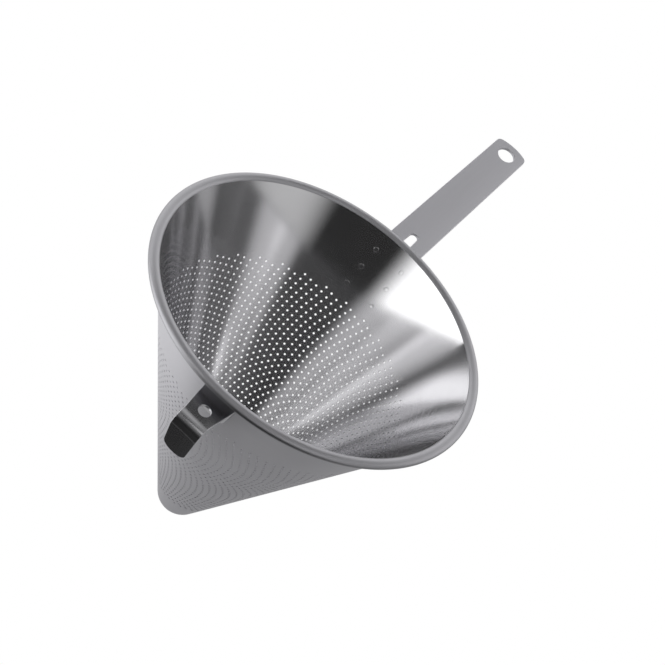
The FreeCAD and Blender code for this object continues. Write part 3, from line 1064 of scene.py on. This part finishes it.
@dataclass
class SpotWelds:
    """Pressed marks of the spot welds on the inner wall: a shallow dish with a raised lip."""

    spread: float  # distance between the two columns of marks
    rows: int
    first: float  # slant of the first row
    opposite: bool = False  # on the side of the hook
    pitch: float = 13.0  # distance between rows along the wall
    radius: float = 1.5
    sides: int = 24
    shares: tuple[float, ...] = (1.12, 1.04, 0.94, 0.84, 0.72, 0.4, 0.0)  # of the radius, from outside in
    heights: tuple[float, ...] = (-0.3, 0.005, 0.03, 0.035, 0.02, 0.012, 0.01)  # above the wall, at each

    def build(self, name: str, node: str, cone: ConeSheet, finishes: Finishes) -> None:
        """Build the marks.

        Each mark is a profile of distance and height above the wall, turned about the wall's normal.

        Args:
            name: Name of the piece.
            node: CAD node it stands for.
            cone: The cone that carries it.
            finishes: The finishes.
        """
        slant = self.first - self.pitch * np.repeat(np.arange(self.rows), 2)
        turn = np.arcsin(self.spread / 2 / (slant * math.sin(cone.slope))) * np.tile([1, -1], self.rows)
        turn = turn + (math.pi if self.opposite else 0.0)
        foot = cone.spun(cone.wall(slant, -cone.sheet), turn)
        lift, rise = -cone.spun(cone.out, turn), cone.spun(cone.up, turn)
        aside = np.cross(lift, rise)
        around = (np.arange(self.sides) * (2 * math.pi / self.sides))[:, None]
        spoke = rise[:, None, None] * np.cos(around) + aside[:, None, None] * np.sin(around)

        reach, height = np.array(self.shares) * self.radius, np.array(self.heights)
        slope = np.gradient(height, reach)
        reach_at, height_at, slope_at = (part[:-1, None, None] for part in (reach, height, slope))
        shell = Shell()
        rings = shell.add_points(foot[:, None, None] + reach_at * spoke + lift[:, None, None] * height_at)
        tilt = lift[:, None, None] - spoke * slope_at
        shell.add_faces(ring_quads(rings[:, :-1], rings[:, 1:]), ring_normals(tilt[:, :-1], tilt[:, 1:]))
        for row, level, side in ((-1, height[-1], 1), (0, height[0], -1)):
            fan = ring_fan(rings[:, row], shell.add_points(foot + lift * level))
            shell.add_faces(fan[:, ::side], side * np.repeat(lift, self.sides, 0)[:, None])
        shell.piece(name, [finishes.inside], Slot.WELD, node)


@dataclass(frozen=True)
class Panel:
    """A soft panel of the studio: a window in azimuth and height round the object, in degrees."""

    azimuth: float  # direction of its middle, from +X towards +Y
    half_width: float
    fade: float  # width of its soft sides
    low: float  # height of its lower side above the horizon
    high: float  # height of its upper side
    blur: float  # height of its soft lower and upper sides
    strength: float  # brightness
    apart: Pair = (1e-3, 1e-4)  # keeps the ends of a smooth step apart, all round and at the zenith

    def level(self, x: Value, y: Value, z: Value) -> Value:
        """Brightness in a direction: the product of a window in azimuth and one in height.

        Args:
            x: Part of the level direction along +X, of length one.
            y: Its part along +Y.
            z: Sine of the height.

        Returns:
            The panel's brightness there.
        """
        turn, half, whole = map(math.radians, (self.azimuth, self.half_width,
                                               min(180, self.half_width + self.fade)))
        facing = x * math.cos(turn) + y * math.sin(turn)
        wide = facing.smooth(math.cos(whole) - self.apart[0], math.cos(half))
        heights = (self.low - self.blur, self.low, self.high, min(90, self.high + self.blur))
        foot, low, high, top = (math.sin(math.radians(height)) for height in heights)
        return wide * z.smooth(foot, low) * (1.0 - z.smooth(high, top + self.apart[1])) * self.strength


@dataclass(frozen=True)
class SoftBox:
    """An upright soft box close to the object, in metres, which the steel shows and the camera doesn't."""

    edge: Pair = (-0.163, 0.070)  # place of its near edge on the floor plan
    heading: float = 81.8  # direction in which its width runs, in degrees from +X towards +Y
    width: float = 0.627
    fade: float = 0.095  # width of its soft side edges
    top: float = 0.118  # height of its upper edge
    blur: float = 0.014  # half of the height of its soft upper edge
    strength: float = 2.0  # brightness

    def build(self, floor_level: float) -> None:
        """Stand the box on the floor: its light fades out at its sides and at its top.

        Args:
            floor_level: Height of the floor.
        """
        turn = math.radians(self.heading)
        along = (math.cos(turn), math.sin(turn))
        sides = np.array(self.edge) + np.multiply.outer([-self.fade, self.width + self.fade], along)
        heights = np.array([floor_level, self.top + self.blur])
        made = bpy.data.materials.new("soft_box")
        tree = ShaderTree(made)
        x, y, z = tree.place()
        place = (x - self.edge[0]) * along[0] + (y - self.edge[1]) * along[1]
        half = self.fade / 2
        cover = place.smooth(-half, half) * (1.0 - place.smooth(self.width - half, self.width + half))
        cover = cover * (1.0 - z.smooth(self.top - self.blur, self.top + self.blur))
        clear = tree.node("ShaderNodeBsdfTransparent", {}, {})
        glow = tree.node("ShaderNodeEmission", {}, {"Strength": self.strength})
        tree.mix(cover * (1.0 - tree.ray("Camera")), clear, glow, "ShaderNodeOutputMaterial")
        stage_sheet("soft_box", np.column_stack([sides[[0, 1, 1, 0]], heights[[0, 0, 1, 1]]]), made)


@dataclass
class Studio:
    """Camera, floor and soft studio light, in metres."""

    eye: Triple = (-0.7755, -0.1142, 0.6373)  # place of the camera
    right: Triple = (0.49176, -0.72662, 0.47978)  # direction to the right in the picture
    up: Triple = (0.41161, 0.67955, 0.60728)  # direction up in the picture
    forward: Triple = (0.76730, 0.10115, -0.63326)  # direction of view
    lens: Pair = (102.12, 36.0)  # focal length and width of the sensor, in millimetres
    clip: Pair = (0.01, 50.0)  # nearest and furthest that the camera sees
    floor_level: float = -0.1846
    floor_half: float = 4.0  # half of the floor's side
    floor_colour: tuple[float, ...] = (0.8, 0.8, 0.8, 1.0)
    painted_front_shade: Pair = (-0.265, -0.13)  # along X: where the painted shade on the -X side is darkest, and where it starts
    painted_shade_place: Pair = (-0.160, 0.016)  # middle of the soft shade painted on the floor below the hook
    painted_shade_reach: Pair = (0.030, 0.09)  # radii where that painted shade starts to fade and where it ends
    painted_shade_left: float = 0.04  # tone of the darkest painted shade
    foot_shadow_reach: Pair = (0.0, 0.25)  # distances from the axis over which the painted shadow round the foot fades and the floor gets lighter
    foot_shadow_tones: Pair = (0.66, 0.86)
    painted_light_reach: Pair = (-0.12, 0.14)  # along Y: where the painted light on the floor starts to grow, and where that ends
    painted_light_tones: Pair = (0.5, 1.0)
    room: Pair = (0.02, 0.05)  # brightness of the bare room, low down and high up
    room_heights: Pair = (0.13, 0.5)  # sines of the heights between which it changes
    box: SoftBox = SoftBox()
    panels: tuple[Panel, ...] = (
        Panel(118, 1, 34, 51, 58, 2.5, 0.98),
        Panel(143, 6, 28, 45, 53, 4, 0.80),
        Panel(54, 31, 7, 30, 53, 3, 0.22),
        Panel(254, 1, 35, -12, 56, 3, 0.62),
        Panel(283, 21, 42, 57, 60, 8, 0.92),
        Panel(215, 12, 18, 45, 52, 11, 1.1),
        Panel(179, 38, 9, 29, 46, 10, 0.13),
        Panel(0, 180, 0, 67, 90, 6, 0.28),
        Panel(0, 180, 0, 81, 90, 6, 0.22),
        Panel(10, 70, 15, -12, 42, 5, 1.3),
    )

    def camera(self) -> None:
        """Set the camera at the photograph's place."""
        data = bpy.data.cameras.new("camera")
        data.lens, data.sensor_width = self.lens
        data.clip_start, data.clip_end = self.clip
        eye = bpy.data.objects.new("camera", data)
        axes = Matrix((self.right, self.up, -Vector(self.forward))).transposed().to_4x4()
        axes.translation = self.eye
        eye.matrix_world = axes
        bpy.context.collection.objects.link(eye)
        bpy.context.scene.camera = eye

    def floor(self) -> None:
        """Lay a pale floor: white for the camera, and for the steel's reflections a tone with painted shade
        and light: darker round the foot, on the -X side and in a soft patch below the hook, and lighter on
        the +Y side.
        """
        made = bpy.data.materials.new("pale_floor")
        tree = ShaderTree(made)
        seen = tree.seen()
        x, y, _ = tree.place()
        # painted shade: dark on the -X side and in a soft patch below the hook, as the steel sees the floor
        away = ((x - self.painted_shade_place[0]) ** 2 + (y - self.painted_shade_place[1]) ** 2) ** 0.5
        shade = (x.smooth(*self.painted_front_shade) * away.smooth(*self.painted_shade_reach)).between(self.painted_shade_left, 1.0)
        # painted shadow round the foot: the mirrored floor is darker near the axis
        painted_foot_shadow = ((x * x + y * y) ** 0.5).smooth(*self.foot_shadow_reach).between(*self.foot_shadow_tones)
        # painted light and shade: the mirrored floor is lighter on the +Y side and darker on the -Y side
        painted_side_light = y.smooth(*self.painted_light_reach).between(*self.painted_light_tones)
        tone = seen.math("MAXIMUM", shade * painted_foot_shadow * painted_side_light)
        pale = tree.node("ShaderNodeBsdfDiffuse", {}, {"Color": self.floor_colour})
        white = tree.node("ShaderNodeEmission", {}, {"Color": WHITE, "Strength": tone})
        tree.mix(seen.math("MAXIMUM", tree.ray("Glossy")), pale, white, "ShaderNodeOutputMaterial")
        corner = np.array([[-1, -1], [1, -1], [1, 1], [-1, 1]]) * self.floor_half
        stage_sheet("floor", np.column_stack([corner, np.full(4, self.floor_level)]), made)

    def light(self) -> None:
        """Light the scene with a dim room and its soft panels, white behind the object for the camera."""
        world = bpy.data.worlds.new("studio")
        bpy.context.scene.world = world
        tree = ShaderTree(world)
        towards = tree.node("ShaderNodeVectorMath", {"operation": "NORMALIZE"},
                            {0: tree.coordinate("Generated")})
        x, y, z = tree.split(towards.outputs[0])
        flat = (x * x + y * y + OFF_ZERO) ** 0.5
        x, y = x / flat, y / flat
        level = z.smooth(*self.room_heights).between(*self.room)
        for panel in self.panels:
            level = level + panel.level(x, y, z)
        room = tree.node("ShaderNodeBackground", {}, {"Color": WHITE, "Strength": level})
        white = tree.node("ShaderNodeBackground", {}, {"Color": WHITE, "Strength": 1.0})
        tree.mix(tree.seen(), room, white, "ShaderNodeOutputWorld")

    def build(self) -> None:
        """Set up the camera, the floor, the light and the soft box."""
        self.camera()
        self.floor()
        self.light()
        self.box.build(self.floor_level)


def main() -> None:
    """Build the pieces in order, then the studio."""
    logging.basicConfig(level=logging.INFO, format="%(name)s %(message)s")
    bpy.context.scene.view_settings.view_transform = "Standard"
    finishes = Finishes()
    cone = ConeSheet()
    cone.build(finishes)
    cone.wire(finishes)
    Handle().build(cone, finishes)
    PotHook().build(cone, finishes)
    SpotWelds(spread=19.6, rows=3, first=215.802).build(
        "handle_weld_marks", "handle_spot_welds", cone, finishes)
    SpotWelds(spread=11.0, rows=2, first=212.635, opposite=True).build(
        "hook_weld_marks", "hook_spot_welds", cone, finishes)
    Studio().build()


if __name__ == "__main__":
    main()
